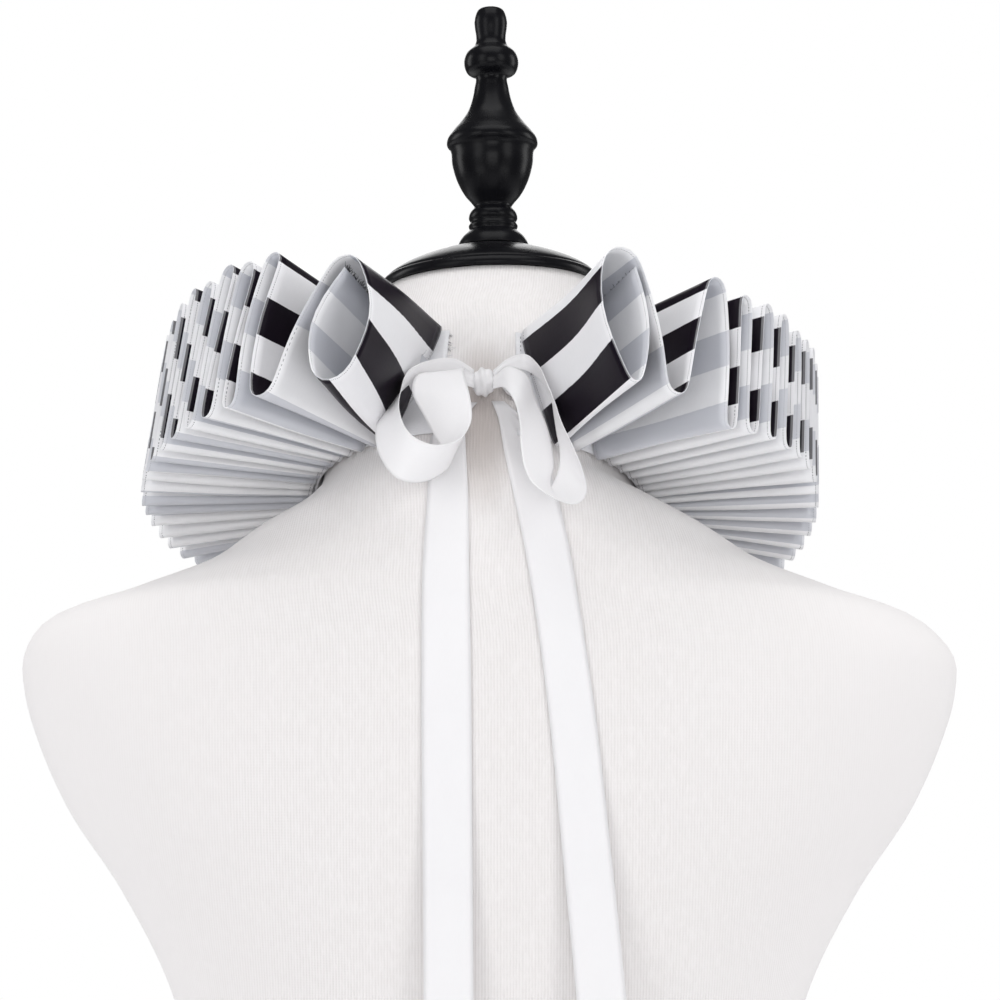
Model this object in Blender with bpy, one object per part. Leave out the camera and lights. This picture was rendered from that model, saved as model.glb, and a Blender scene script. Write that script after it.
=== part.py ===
"""A ruff collar of one long cross-striped satin ribbon, tied with a bow, on a limbless dress form.

Sizes are in millimetres and become metres in the mesh maker. X runs across, -Y is the wearer's back,
where the collar opens and the bow hangs, and the origin is the middle of the form's flat base.
"""

import math
from collections import namedtuple

import bmesh
import bpy
import numpy as np
from mathutils import Matrix, Vector
from mathutils.bvhtree import BVHTree

MM = 0.001

# The collar's own frame: it tips down at the front and a little down on the right
RING_CENTRE = np.array([-4.0, 0.0, 522.0])
RING_TILT = math.radians(24.0)
RING_ROLL = math.radians(2.0)
RING_TURN = np.array(Matrix.Rotation(RING_ROLL, 3, "Y") @ Matrix.Rotation(-RING_TILT, 3, "X"))

# The pleated ribbon: its edges lie on two cones round the ring's axis
WALL = 1.0
SEAM_GAP = 0.35
ROOT_RADIUS = 67.9
ROOT_CONE = 0.19
RIM_RADIUS = 148.1
RIM_CONE = 0.04
RIM_DRAWN_IN = 2.0
RIM_SHIFT = 1.8
RIM_LEAN = 0.04
ROOT_TOP = 31.0
ROOT_FOOT = -26.0
RIM_TOP = 39.5
RIM_FOOT = -35.5
RIM_TOP_FALL = 8.0
RIM_FOOT_RISE = 7.0
PLAIN_FOLDS = 43
LIFT_FADE_LEGS = 16
LEG_STEPS = 2
TURN_STEPS = 4
ACROSS_STEPS = 2

# The ribbon's legs from each raw end on: the lapped end, the flat panel at the opening, then down and
# up in turn. Angles are in degrees from the middle of the back, at the rim and at the root. Bow is how far
# the middle of the leg stands off its straight line, drop is how far its top lies under the highest
# ones at the rim, and lift is how far its foot lies over the lowest ones.
Leg = namedtuple("Leg", "rim_foot rim_top root_foot root_top bow drop lift")
RIGHT_LEGS = [
    Leg(25.6, 23.4, 28.2, 19.8, 1.9, 17.0, 5.0),
    Leg(22.8, 17.6, 26.0, 17.5, -2.0, 8.5, 5.0),
    Leg(29.8, 24.6, 30.4, 22.0, 1.0, 8.5, 4.5),
    Leg(34.0, 37.4, 35.8, 35.8, -0.3, 8.3, 4.5),
    Leg(41.0, 41.6, 41.6, 41.6, 0.8, 8.3, -2.0),
    Leg(43.8, 45.2, 44.8, 44.8, 0.0, 9.2, -2.0),
    Leg(47.4, 48.2, 47.8, 47.8, 0.0, 9.2, 1.0),
    Leg(50.2, 51.6, 51.0, 51.0, 0.0, 6.1, 1.0),
    Leg(53.4, 54.6, 54.2, 54.2, 0.3, 6.1, 4.0),
    Leg(55.8, 57.2, 56.6, 56.6, 0.0, 4.3, 4.0),
    Leg(58.8, 60.2, 59.6, 59.6, 0.3, 4.3, 5.5),
    Leg(61.6, 63.0, 62.4, 62.4, 0.0, 5.0, 5.5),
    Leg(64.6, 66.0, 65.4, 65.4, 0.3, 5.0, 7.5),
    Leg(67.2, 68.4, 67.8, 67.8, 0.0, 2.5, 7.5),
    Leg(70.2, 71.2, 70.6, 70.6, 0.0, 2.5, 8.5),
    Leg(73.0, 73.8, 73.4, 73.4, 0.0, -0.6, 8.5),
    Leg(75.9, 76.5, 76.2, 76.2, 0.0, -0.6, 8.5),
]
LEFT_LEGS = [
    Leg(28.0, 23.9, 33.2, 18.8, 3.0, 21.6, 0.0),
    Leg(20.4, 21.0, 31.0, 16.5, -2.4, 14.6, 0.0),
    Leg(34.5, 27.4, 35.4, 21.0, 1.2, 14.6, 0.0),
    Leg(39.8, 36.6, 38.6, 38.6, 1.6, 4.2, 0.0),
    Leg(42.6, 39.4, 41.8, 41.8, 0.8, 4.2, 0.0),
    Leg(45.6, 42.2, 44.8, 44.8, 0.4, 3.2, 0.0),
    Leg(48.2, 45.0, 47.6, 47.6, 0.4, 3.2, 0.0),
    Leg(50.8, 47.4, 50.2, 50.2, 0.2, -0.5, 0.0),
    Leg(53.4, 50.4, 52.9, 52.9, 0.2, -0.5, 0.0),
    Leg(56.2, 53.8, 55.8, 55.8, 0.0, 1.1, 0.0),
    Leg(58.9, 56.8, 58.4, 58.4, 0.0, 1.1, 0.0),
    Leg(61.6, 60.2, 61.2, 61.2, 0.0, -2.1, 0.0),
    Leg(64.2, 63.2, 64.0, 64.0, 0.0, -2.1, 0.0),
    Leg(66.8, 66.2, 66.7, 66.7, 0.0, -2.2, 0.0),
    Leg(69.4, 69.2, 69.3, 69.3, 0.0, -2.2, 0.0),
]
WIDE_TURN_RISE = 13.0

# The neckband that the pleats are sewn to
NECK_GAP = 2.1
BAND_FROM = 12.5
BAND_TO = 346.0
BAND_TOP = 28.0
BAND_FOOT = -29.0
BAND_STEPS = 56

# The dress form, in level or tipped sections from the base to the neck
Section = namedtuple("Section", "height sideways forward tilt half_width front back squareness")
TORSO = [
    Section(0, 0, 6, 0, 160, 94, 110, 2.2),
    Section(42, 0, 6, 0, 165, 97, 113, 2.2),
    Section(90, 0, 6, 0, 143, 91, 96, 2.15),
    Section(135, 0, 6, 0, 124, 86, 80, 2.1),
    Section(185, 0, 6, 0, 125, 97, 85, 2.1),
    Section(235, 0, 6, 0, 131, 112, 92, 2.15),
    Section(282, 0, 5, 0, 139, 121, 98, 2.2),
    Section(330, 0, 4, 0, 162, 118, 103, 2.25),
    Section(366, 0, 2, 2, 185.5, 112, 104, 2.3),
    Section(392, 0, 0, 4, 197, 107, 103, 2.3),
    Section(414, 0, -2, 6.5, 203.3, 103, 101, 2.25),
    Section(430, -0.5, -4, 9, 203.3, 99, 98, 2.2),
    Section(442, -2.5, -6, 12.5, 194, 95, 96, 2.15),
    Section(453.5, -2.5, -8, 14.3, 161, 90, 93, 2.1),
    Section(466, -2, -10, 17.3, 123, 84, 89, 2.05),
    Section(478, -3, -11, 20, 103, 78, 84, 2.0),
    Section(487.5, -4, -12, 22, 83, 74, 78, 2.0),
]
NECK_LEVELS = [-30.0, -8.0, 12.0, 32.0]
NECK_TOP = [
    Section(566, -3, 18.5, 21, 55, 55, 55, 2.0),
    Section(580, -1, 23.5, 15, 50.5, 50.5, 50.5, 2.0),
]
NECK_TOP_RADIUS = 47.0
FORM_SIDES = 44
FORM_STEPS = 2

# The neck cap and the finial are turned pieces on tipped axes
CAP_CENTRE = np.array([0.3, 27.4, 594.6])
CAP_TILT = math.radians(9.5)
CAP_ROLL = math.radians(-1.6)
CAP_TURN = np.array(Matrix.Rotation(CAP_ROLL, 3, "Y") @ Matrix.Rotation(-CAP_TILT, 3, "X"))
FINIAL_ROLL = math.radians(-0.7)
FINIAL_TURN = np.array(Matrix.Rotation(FINIAL_ROLL, 3, "Y") @ Matrix.Rotation(-CAP_TILT, 3, "X"))
TURNED_SIDES = 28
Ring = namedtuple("Ring", "radius height")
CAP_PROFILE = [
    Ring(49.0, 0), Ring(49.3, 1.2), Ring(48.6, 3.2), Ring(46.8, 5.2), Ring(44.0, 7.3),
    Ring(40.0, 9.6), Ring(34.0, 12.3), Ring(27.0, 14.8), Ring(20.0, 16.8), Ring(16.4, 17.7),
]
FINIAL_PROFILE = [
    Ring(16.2, 0), Ring(15.6, 2.0), Ring(14.0, 4.8), Ring(11.6, 7.2), Ring(10.6, 8.2),
    Ring(11.0, 10.2), Ring(10.2, 11.9), Ring(10.9, 13.7), Ring(10.5, 15.9), Ring(8.4, 19.4),
    Ring(9.3, 20.8), Ring(12.4, 24.6), Ring(15.9, 31.2), Ring(18.1, 38.8), Ring(19.2, 46.2),
    Ring(20.4, 47.8), Ring(20.3, 50.0), Ring(18.2, 53.4), Ring(14.6, 57.8), Ring(10.9, 63.2),
    Ring(8.9, 68.6), Ring(7.7, 74.4), Ring(7.3, 79.6), Ring(10.8, 81.6), Ring(12.3, 86.2),
    Ring(11.2, 90.4), Ring(7.4, 94.2), Ring(7.1, 107.6), Ring(5.6, 111.0), Ring(2.0, 112.3),
]
FINIAL_SEAT = np.array([1.4, 0.0, 18.45])

# The tie: one satin ribbon, knotted over the opening
KNOT = np.array([-2.5, -66.3, 549.5])
KNOT_SIZE = np.array([5.0, 4.4, 6.0])
# Behind the knot the form's back falls away along this slope
BACK_SLOPE = 0.70
# Each row is one station of a bow loop: where its two edges lie across and up from the knot, and
# how far each is lifted off the slope of the back
Station = namedtuple("Station", "near_x near_z near_lift far_x far_z far_lift")
LEFT_LOOP = [
    Station(-6.0, 3.5, 5.0, -6.0, -2.5, 3.5),
    Station(-8.5, 4.5, 11.0, -27.5, 3.0, 9.5),
    Station(-6.0, -4.5, 16.0, -29.5, -5.0, 12.0),
    Station(-4.8, -12.0, 17.0, -24.5, -15.0, 11.0),
    Station(-5.5, -18.5, 18.0, -18.5, -26.0, 7.5),
    Station(-9.0, -24.0, 20.0, -13.5, -34.0, 4.5),
    Station(-18.0, -27.0, 22.0, -24.0, -42.0, 8.0),
    Station(-27.0, -24.5, 24.0, -36.0, -40.0, 15.0),
    Station(-32.0, -19.5, 26.0, -43.0, -30.0, 14.0),
    Station(-34.5, -12.0, 28.0, -44.0, -19.0, 14.0),
    Station(-34.0, -5.0, 27.0, -37.5, -8.5, 9.5),
    Station(-30.5, 4.0, 21.0, -30.5, 1.5, 3.5),
    Station(-21.0, 8.5, 14.0, -21.0, 5.5, -2.5),
    Station(-12.0, 10.5, 9.0, -12.5, 7.0, -1.0),
    Station(-7.0, 7.5, 4.0, -7.0, 5.5, -1.0),
]
RIGHT_LOOP = [
    Station(6.0, -3.5, 5.0, 6.0, 2.0, 4.0),
    Station(9.0, -3.0, 12.0, 11.0, 6.5, 9.0),
    Station(12.5, -8.0, 17.0, 17.5, 3.5, 9.0),
    Station(15.0, -17.0, 17.0, 21.5, -7.0, 3.5),
    Station(15.5, -28.0, 17.0, 26.5, -19.5, 4.5),
    Station(17.0, -36.5, 18.0, 28.5, -29.0, 4.0),
    Station(20.0, -42.5, 19.0, 29.0, -36.0, 4.0),
    Station(25.0, -46.5, 21.0, 27.5, -41.0, 5.0),
    Station(31.5, -50.0, 22.0, 27.5, -44.0, 6.0),
    Station(38.0, -51.0, 20.0, 30.0, -40.0, 6.0),
    Station(42.0, -46.5, 17.0, 31.5, -34.0, 5.0),
    Station(40.5, -37.0, 17.0, 31.5, -28.0, 3.0),
    Station(36.5, -27.0, 18.0, 30.5, -22.0, 2.0),
    Station(32.0, -17.0, 18.0, 29.5, -14.5, 0.5),
    Station(29.5, -9.0, 18.0, 28.5, -8.0, 0.0),
    Station(26.5, -1.0, 16.0, 25.5, -1.5, 0.0),
    Station(23.0, 6.0, 12.0, 22.5, 5.0, -2.0),
    Station(17.5, 11.0, 6.0, 17.5, 9.5, -5.0),
    Station(11.0, 11.0, 5.0, 11.0, 9.5, -4.0),
    Station(7.5, 8.0, 3.0, 7.5, 6.5, -2.5),
]
# The tie's runs over the neck from the ends of the band: where they lie on the collar's ring, half their
# height, and how far they stand off the band
Run = namedtuple("Run", "angle level half_height lift")
LEFT_RUN = [
    Run(-13.6, 3.0, 9.5, 0.6), Run(-11.5, 2.0, 8.5, 1.0), Run(-8.5, 2.0, 6.0, 1.7), Run(-5.9, 2.4, 3.6, 2.6),
]
RIGHT_RUN = [
    Run(12.0, 4.0, 9.5, 0.6), Run(10.0, 3.0, 8.5, 1.0), Run(7.8, 2.6, 6.0, 1.7), Run(6.4, 2.6, 3.6, 2.6),
]
# The tails' middle lines, and half their width, down the back
Drop = namedtuple("Drop", "across height half_width")
LEFT_TAIL = [
    Drop(-6.5, 541.0, 3.5), Drop(-9.5, 533.0, 6.0), Drop(-13.0, 520.0, 8.0), Drop(-16.5, 505.0, 8.8),
    Drop(-17.8, 475.0, 9.7), Drop(-17.6, 425.0, 10.2), Drop(-17.0, 350.0, 10.2), Drop(-16.6, 280.0, 10.2),
    Drop(-16.4, 222.0, 10.2),
]
RIGHT_TAIL = [
    Drop(2.0, 540.8, 3.5), Drop(5.0, 535.0, 5.5), Drop(9.5, 522.0, 8.0), Drop(15.0, 507.0, 9.2),
    Drop(21.0, 491.0, 9.3), Drop(28.0, 455.0, 9.6), Drop(33.0, 420.0, 9.8), Drop(40.5, 350.0, 10.0),
    Drop(46.5, 290.0, 10.2), Drop(50.5, 245.0, 10.2),
]
LOOP_STEPS = 2
TAIL_STEPS = 3
# The tails' ends are cut on a slant, and they lie this clear of the form
TAIL_SLANT = 7.0
TAIL_CLEAR = 1.3


def finish(name, colour, roughness, metallic=0.0):
    """A plain Principled finish."""
    material = bpy.data.materials.new(name)
    material.use_nodes = True
    shader = material.node_tree.nodes["Principled BSDF"]
    shader.inputs["Base Color"].default_value = (*colour, 1.0)
    shader.inputs["Roughness"].default_value = roughness
    shader.inputs["Metallic"].default_value = metallic
    material.diffuse_color = (*colour, 1.0)
    return material


def solid(name, points, faces, material, sharp=35.0):
    """One named closed piece from points in millimetres, its faces turned outwards."""
    mesh = bpy.data.meshes.new(name)
    mesh.from_pydata([Vector(point) * MM for point in points], [], faces)
    shape = bmesh.new()
    shape.from_mesh(mesh)
    bmesh.ops.recalc_face_normals(shape, faces=shape.faces)
    if shape.calc_volume(signed=True) < 0:
        bmesh.ops.reverse_faces(shape, faces=shape.faces)
    shape.to_mesh(mesh)
    shape.free()
    mesh.materials.append(material)
    mesh.shade_smooth()
    mesh.set_sharp_from_angle(angle=math.radians(sharp))
    piece = bpy.data.objects.new(name, mesh)
    bpy.context.collection.objects.link(piece)
    return piece


def cloth_wall(name, grid, material, thickness=WALL):
    """A sheet given as rows of points along it, each row running across, thickened evenly both ways."""
    grid = np.asarray(grid, float)
    along = np.gradient(grid, axis=0)
    across = np.gradient(grid, axis=1)
    normal = np.cross(along, across)
    normal /= np.linalg.norm(normal, axis=2, keepdims=True)
    upper = grid + normal * thickness / 2
    lower = grid - normal * thickness / 2
    rows, columns = grid.shape[:2]
    points = np.concatenate([upper.reshape(-1, 3), lower.reshape(-1, 3)])
    under = rows * columns

    def place(row, column):
        return row * columns + column

    faces = []
    for row in range(rows - 1):
        for column in range(columns - 1):
            a, b = place(row, column), place(row + 1, column)
            quad = [a, b, b + 1, a + 1]
            faces.append(quad)
            faces.append([corner + under for corner in reversed(quad)])
        for column in (0, columns - 1):
            a, b = place(row, column), place(row + 1, column)
            faces.append([a, b, b + under, a + under])
    for row in (0, rows - 1):
        for column in range(columns - 1):
            a, b = place(row, column), place(row, column + 1)
            faces.append([a, b, b + under, a + under])
    return solid(name, points, faces, material)


def rings_solid(name, rings, material, sharp=35.0):
    """A solid lofted through closed rings of points, flat at both ends."""
    count = len(rings[0])
    points = [point for ring in rings for point in ring]
    faces = []
    for level in range(len(rings) - 1):
        for side in range(count):
            a = level * count + side
            b = level * count + (side + 1) % count
            faces.append([a, b, b + count, a + count])
    last = (len(rings) - 1) * count
    faces.append(list(reversed(range(count))))
    faces.append(list(range(last, last + count)))
    return solid(name, points, faces, material, sharp)


def smoothed(rows, steps):
    """Rows of numbers with a smooth curve's rows put in between, however unevenly the rows are spaced."""
    rows = np.array(rows, float)
    flat = rows.reshape(len(rows), -1)
    gaps = np.linalg.norm(np.diff(flat, axis=0), axis=1)
    slopes = np.gradient(flat, np.concatenate([[0.0], np.cumsum(gaps)]), axis=0)
    smooth = []
    for index, gap in enumerate(gaps):
        start, stop = flat[index], flat[index + 1]
        leaving, arriving = slopes[index] * gap, slopes[index + 1] * gap
        for step in range(steps):
            part = step / steps
            rest = 1 - part
            ends = start * rest * rest * (1 + 2 * part) + stop * part * part * (3 - 2 * part)
            smooth.append(ends + part * rest * (leaving * rest - arriving * part))
    smooth.append(flat[-1])
    return np.array(smooth).reshape(-1, *rows.shape[1:])


# The collar's frame

def on_ring(angle, radius, level):
    """A point at an angle in degrees from the middle of the back, a radius and a level on the axis."""
    turn = math.radians(angle)
    return RING_CENTRE + RING_TURN @ np.array([radius * math.sin(turn), -radius * math.cos(turn), level])


def root_radius(level):
    return ROOT_RADIUS - ROOT_CONE * level


def root_point(angle, level):
    return on_ring(angle, root_radius(level), level)


def rim_point(angle, level):
    """The rim is drawn in a little at the sides, and it is shifted to the right, more so at its top."""
    radius = RIM_RADIUS - RIM_CONE * level - RIM_DRAWN_IN * math.sin(math.radians(angle)) ** 2
    return on_ring(angle, radius, level) + RING_TURN @ np.array([RIM_SHIFT + RIM_LEAN * level, 0.0, 0.0])


def frontness(angle):
    """0 at the middle of the back and 1 at the middle of the front."""
    return (1 - math.cos(math.radians(angle))) / 2


def rim_reach(angle):
    """The levels of the rim's top and foot."""
    return RIM_TOP - RIM_TOP_FALL * frontness(angle), RIM_FOOT + RIM_FOOT_RISE * frontness(angle)


# The pleats

def mirrored(leg):
    """A left leg's angles, counted on round the ring."""
    angles = (360 - angle for angle in leg[:4])
    return Leg(*angles, -leg.bow, leg.drop, leg.lift)


def all_legs():
    """Every leg of the ribbon in order, from the right raw end round the front to the left one."""
    left = [mirrored(leg) for leg in reversed(LEFT_LEGS)]
    start = RIGHT_LEGS[-1]
    first, last = start.rim_top, left[0].rim_top
    count = 2 * PLAIN_FOLDS
    plain = []
    for index in range(count):
        angle = first + (last - first) * (index + 1) / (count + 1)
        fade = max(0.0, 1 - (index + 1) // 2 * 2 / LIFT_FADE_LEGS)
        plain.append(Leg(angle, angle, angle, angle, 0.0, 0.0, start.lift * fade))
    return RIGHT_LEGS + plain + left


def root_edge(legs):
    """The sewn edge's legs as (foot angle, foot level, top angle, top level, bow)."""
    tops = [ROOT_TOP] * len(legs)
    tops[0] -= legs[0].drop
    tops[-1] -= legs[-1].drop
    return [(leg.root_foot, ROOT_FOOT, leg.root_top, top, 0.0) for leg, top in zip(legs, tops)]


def rim_edge(legs):
    """The free edge's legs as (foot angle, foot level, top angle, top level, bow)."""
    edge = []
    for leg in legs:
        top, foot = rim_reach(leg.rim_foot)
        edge.append((leg.rim_foot, foot + leg.lift, leg.rim_top, top - leg.drop, leg.bow))
    return edge


def pleat_line(edge, radius):
    """One edge of the ribbon as (angle, level) pairs: down and up its legs, and round the turns between."""
    last = len(edge) - 1

    def rise(a, b):
        return min(math.radians(abs(a - b)) / 2 * radius, WIDE_TURN_RISE)

    line = []
    for index, (foot_angle, foot, top_angle, top, bow) in enumerate(edge):
        falling = index % 2 == 0
        below = edge[index + 1] if falling and index < last else edge[index - 1]
        above = edge[index - 1] if falling else edge[min(index + 1, last)]
        low = foot + rise(foot_angle, below[0])
        high = top - (0.0 if index in (0, last) else rise(top_angle, above[2]))
        ends = [(top_angle, high), (foot_angle, low)]
        (from_angle, from_level), (to_angle, to_level) = ends if falling else ends[::-1]
        for step in range(LEG_STEPS):
            part = step / LEG_STEPS
            angle = from_angle + (to_angle - from_angle) * part + bow * math.sin(math.pi * part)
            line.append((angle, from_level + (to_level - from_level) * part))
        if index == last:
            line.append((to_angle, to_level))
            break
        next_angle = edge[index + 1][0] if falling else edge[index + 1][2]
        crown = -rise(to_angle, next_angle) if falling else rise(to_angle, next_angle)
        for step in range(TURN_STEPS):
            part = math.pi * step / TURN_STEPS
            angle = (to_angle + next_angle) / 2 + (to_angle - next_angle) / 2 * math.cos(part)
            line.append((angle, to_level + crown * math.sin(part)))
    return line


def ruff_grid():
    """The ribbon's middle surface: a row for each point along it, from the root across to the rim."""
    legs = all_legs()
    root = pleat_line(root_edge(legs), ROOT_RADIUS)
    rim = pleat_line(rim_edge(legs), RIM_RADIUS)
    grid = []
    for root_place, rim_place in zip(root, rim):
        inner = root_point(*root_place)
        outer = rim_point(*rim_place)
        grid.append([inner + (outer - inner) * step / ACROSS_STEPS for step in range(ACROSS_STEPS + 1)])
    return grid


# The form

def tipped_ring(centre, turn, half_width, front, back, squareness, sides=FORM_SIDES):
    """A closed ring of points, squarer than an ellipse where squareness is over 2."""
    ring = []
    for side in range(sides):
        angle = 2 * math.pi * side / sides
        across, along = math.cos(angle), math.sin(angle)
        power = 2 / squareness
        x = half_width * math.copysign(abs(across) ** power, across)
        y = (front if along > 0 else back) * math.copysign(abs(along) ** power, along)
        ring.append(centre + turn @ np.array([x, y, 0.0]))
    return ring


def section_ring(section):
    turn = np.array(Matrix.Rotation(-math.radians(section.tilt), 3, "X"))
    centre = np.array([section.sideways, section.forward, section.height], float)
    return tipped_ring(centre, turn, section.half_width, section.front, section.back, section.squareness)


def neck_ring(level):
    centre = RING_CENTRE + RING_TURN @ np.array([0, 0, level])
    radius = root_radius(level) - NECK_GAP
    return tipped_ring(centre, RING_TURN, radius, radius, radius, 2.0)


def form_rings():
    """The form's rings from base to neck top, on smooth curves through its sections."""
    rings = [section_ring(section) for section in TORSO]
    rings += [neck_ring(level) for level in NECK_LEVELS]
    rings += [section_ring(section) for section in NECK_TOP]
    under_cap = CAP_CENTRE - CAP_TURN @ np.array([0, 0, SEAM_GAP])
    rings.append(tipped_ring(under_cap, CAP_TURN, NECK_TOP_RADIUS, NECK_TOP_RADIUS, NECK_TOP_RADIUS, 2.0))
    return smoothed(rings, FORM_STEPS)


def turned(name, profile, centre, turn, material):
    """A solid turned from a profile of rings about its tipped axis."""
    rings = []
    for radius, height in profile:
        middle = centre + turn @ np.array([0, 0, height])
        rings.append(tipped_ring(middle, turn, radius, radius, radius, 2.0, TURNED_SIDES))
    return rings_solid(name, rings, material, sharp=50.0)


# The band and the tie

def band_point(angle, level, lift=0.0):
    """A point in the middle of the band's thickness, or lifted off it."""
    return on_ring(angle, root_radius(level) - NECK_GAP + SEAM_GAP + WALL / 2 + lift, level)


def band_grid():
    """The neckband, from its foot up to its top at each angle round the neck."""
    grid = []
    for step in range(BAND_STEPS + 1):
        angle = BAND_FROM + (BAND_TO - BAND_FROM) * step / BAND_STEPS
        row = []
        for level in (BAND_FOOT, 0.0, BAND_TOP):
            row.append(band_point(angle, level))
        grid.append(row)
    return grid


def tie_grid(runs):
    """The tie's run over the neck, from the end of the band to the knot."""
    grid = []
    for run in runs:
        row = []
        for part in (-1.0, 0.0, 1.0):
            level = run.level + part * run.half_height
            row.append(band_point(run.angle, level, run.lift))
        grid.append(row)
    return grid


def surface_of(piece):
    return BVHTree.FromPolygons(
        [vertex.co for vertex in piece.data.vertices], [list(face.vertices) for face in piece.data.polygons]
    )


def slope_point(x, z, lift):
    """A point placed from the knot, lifted off the slope of the back."""
    return KNOT + np.array([x, BACK_SLOPE * z - lift, z])


def loop_grid(stations):
    grid = []
    for near_x, near_z, near_lift, far_x, far_z, far_lift in smoothed(stations, LOOP_STEPS):
        near = slope_point(near_x, near_z, near_lift)
        far = slope_point(far_x, far_z, far_lift)
        grid.append([near, (near + far) / 2, far])
    return grid


def tail_grid(drops, surfaces):
    """A tail lying on the form's back, then hanging straight from where the back stands out most."""
    stations = smoothed(drops, TAIL_STEPS)
    last = len(stations) - 1
    grid = []
    furthest = None
    for index, (across, height, half_width) in enumerate(stations):
        row = []
        for part in (-1.0, 0.0, 1.0):
            slant = TAIL_SLANT * part if index == last else 0.0
            x = across + part * half_width
            start = Vector((x * MM, -1.0, height * MM))
            hits = [surface.ray_cast(start, Vector((0, 1, 0)))[0] for surface in surfaces]
            nearest = min(hit.y for hit in hits if hit)
            row.append([x, nearest / MM - TAIL_CLEAR - WALL / 2, height - slant])
        if furthest is not None:
            row = [[x, min(y, past), z] for (x, y, z), past in zip(row, furthest)]
        furthest = [point[1] for point in row]
        grid.append(row)
    return grid


def knot_solid(material):
    shape = bmesh.new()
    bmesh.ops.create_uvsphere(shape, u_segments=14, v_segments=8, radius=1.0)
    points = [KNOT + KNOT_SIZE * np.array(vertex.co) for vertex in shape.verts]
    faces = [[vertex.index for vertex in face.verts] for face in shape.faces]
    shape.free()
    return solid("bow_knot", points, faces, material, sharp=60.0)


def build():
    for item in list(bpy.data.objects):
        bpy.data.objects.remove(item, do_unlink=True)
    striped = finish("striped_satin", (0.62, 0.62, 0.66), 0.35)
    band_satin = finish("band_satin", (0.86, 0.86, 0.88), 0.5)
    tie_satin = finish("tie_satin", (0.90, 0.90, 0.90), 0.35)
    jersey = finish("form_jersey", (0.84, 0.82, 0.80), 0.9)
    black_wood = finish("black_lacquer", (0.012, 0.012, 0.014), 0.25)

    form = rings_solid("form_body", form_rings(), jersey, sharp=60.0)
    band = cloth_wall("neckband", band_grid(), band_satin)
    surfaces = [surface_of(form), surface_of(band)]
    cloth_wall("ruff_ribbon", ruff_grid(), striped)
    cloth_wall("tie_left", tie_grid(LEFT_RUN), tie_satin)
    cloth_wall("tie_right", tie_grid(RIGHT_RUN), tie_satin)
    knot_solid(tie_satin)
    cloth_wall("bow_loop_left", loop_grid(LEFT_LOOP), tie_satin)
    cloth_wall("bow_loop_right", loop_grid(RIGHT_LOOP), tie_satin)
    cloth_wall("tail_left", tail_grid(LEFT_TAIL, surfaces), tie_satin)
    cloth_wall("tail_right", tail_grid(RIGHT_TAIL, surfaces), tie_satin)

    turned("neck_cap", CAP_PROFILE, CAP_CENTRE, CAP_TURN, black_wood)
    finial_foot = CAP_CENTRE + FINIAL_TURN @ FINIAL_SEAT
    turned("finial", FINIAL_PROFILE, finial_foot, FINIAL_TURN, black_wood)


build()
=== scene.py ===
"""The looks of a cross-striped satin ruff collar, tied with a bow, on a limbless dress form.

Tables are in millimetres and degrees, as a cutter would note them, and become metres in the mesh maker.
X runs across, -Y is the wearer's back, where the collar opens and the bow hangs.
"""

import math
from collections import namedtuple

import bpy
import numpy as np
from mathutils import Matrix, Vector
from mathutils.bvhtree import BVHTree


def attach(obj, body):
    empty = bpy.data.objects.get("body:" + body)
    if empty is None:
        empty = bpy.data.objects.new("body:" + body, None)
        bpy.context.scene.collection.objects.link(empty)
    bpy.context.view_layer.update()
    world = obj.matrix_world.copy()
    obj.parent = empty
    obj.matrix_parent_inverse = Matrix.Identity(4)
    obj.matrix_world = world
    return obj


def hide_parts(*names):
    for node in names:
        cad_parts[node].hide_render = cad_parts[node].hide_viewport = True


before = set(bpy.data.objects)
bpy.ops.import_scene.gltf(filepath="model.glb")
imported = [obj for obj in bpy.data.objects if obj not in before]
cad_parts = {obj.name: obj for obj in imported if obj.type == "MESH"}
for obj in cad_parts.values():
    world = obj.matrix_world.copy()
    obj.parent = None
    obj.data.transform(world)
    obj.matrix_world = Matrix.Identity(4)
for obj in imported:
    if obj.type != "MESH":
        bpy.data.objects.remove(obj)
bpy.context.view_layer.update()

MM = 0.001

# The camera stands a metre and a half behind the wearer's back, level with the collar's foot
CAMERA_PLACE = (0.0044, -1.5, 0.5)
CAMERA_HALF_VIEW = math.radians(8.34)
CAMERA_SENSOR = 36.0

# The collar's own frame: it tips down at the front and a little down on the right
RING_CENTRE = np.array([-4.0, 0.0, 522.0])
RING_TILT = math.radians(24.0)
RING_ROLL = math.radians(2.0)
RING_TURN = np.array(Matrix.Rotation(RING_ROLL, 3, "Y") @ Matrix.Rotation(-RING_TILT, 3, "X"))

# The pleated ribbon: its edges lie on two cones round the ring's axis
RIBBON_WIDTH = 81.0
RIBBON_THICKNESS = 0.32
ROOT_RADIUS = 67.9
ROOT_CONE = 0.19
RIM_RADIUS = 148.1
RIM_CONE = 0.04
RIM_DRAWN_IN = 2.0
RIM_SHIFT = 1.8
RIM_LEAN = 0.04
ROOT_TOP = 31.0
ROOT_FOOT = -27.6
RIM_TOP = 39.5
RIM_FOOT = -35.5
RIM_TOP_FALL = 8.0
RIM_FOOT_RISE = 7.0
PLAIN_FOLDS = 43
LIFT_FADE_LEGS = 16
WIDE_TURN_RISE = 13.0
LEG_STEPS = 7
TURN_STEPS = 8
ACROSS_STEPS = 14
STRIPE_WIDTH = 15.7
BETWEEN_MARKS = 400
THREAD_THICKNESS = 0.30

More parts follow.
